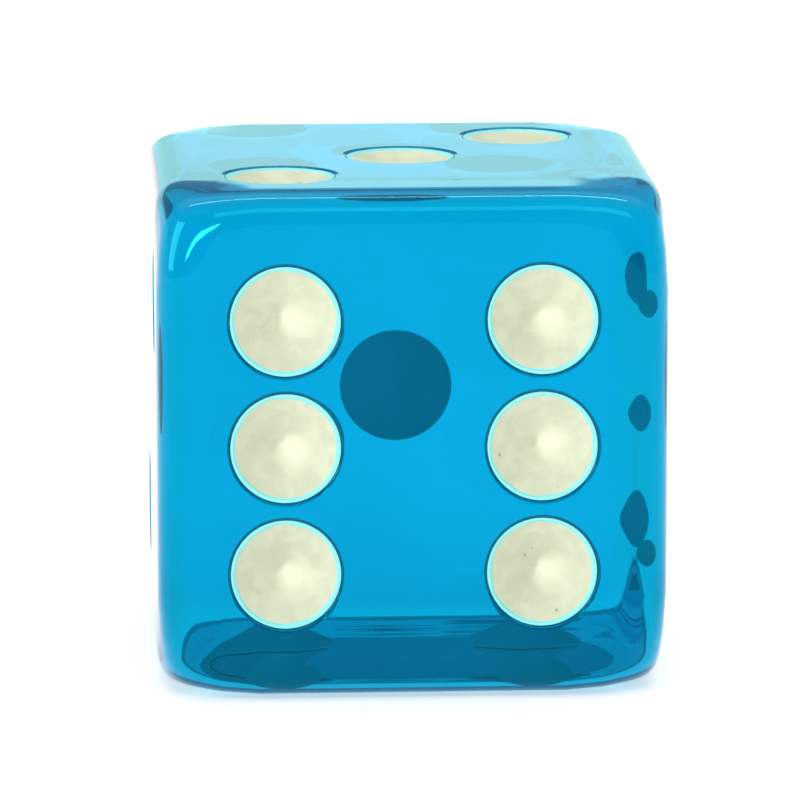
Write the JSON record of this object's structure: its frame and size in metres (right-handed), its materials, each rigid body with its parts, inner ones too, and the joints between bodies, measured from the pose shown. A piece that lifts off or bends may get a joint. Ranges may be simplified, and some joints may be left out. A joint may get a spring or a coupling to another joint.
{
  "type": "casino die",
  "caption": "Translucent cube die with rounded edges and corners, drilled pips lined with white paint, rolled or stacked in casino and board games.",
  "frame": {"origin": "middle of the four face, which the die stands on", "axes": "+Z out of the three face (up), -Y out of the six face (front), +X out of the five face (right)"},
  "size_m": [0.019, 0.019, 0.019],
  "materials": {
    "cyan_resin": "polished translucent resin, cyan all through",
    "white_paint": "matt brushed-in paint, warm white"
  },
  "bodies": {
    "root": {"die_body": "cyan_resin", "pip_one_centre": "white_paint", "pip_two_lower_left": "white_paint", "pip_two_upper_right": "white_paint", "pip_three_centre": "white_paint", "pip_three_lower_left": "white_paint", "pip_three_upper_right": "white_paint", "pip_four_lower_left": "white_paint", "pip_four_upper_right": "white_paint", "pip_four_upper_left": "white_paint", "pip_four_lower_right": "white_paint", "pip_five_centre": "white_paint", "pip_five_lower_left": "white_paint", "pip_five_upper_right": "white_paint", "pip_five_upper_left": "white_paint", "pip_five_lower_right": "white_paint", "pip_six_lower_left": "white_paint", "pip_six_upper_right": "white_paint", "pip_six_upper_left": "white_paint", "pip_six_lower_right": "white_paint", "pip_six_middle_left": "white_paint", "pip_six_middle_right": "white_paint"}
  },
  "joints": []
}
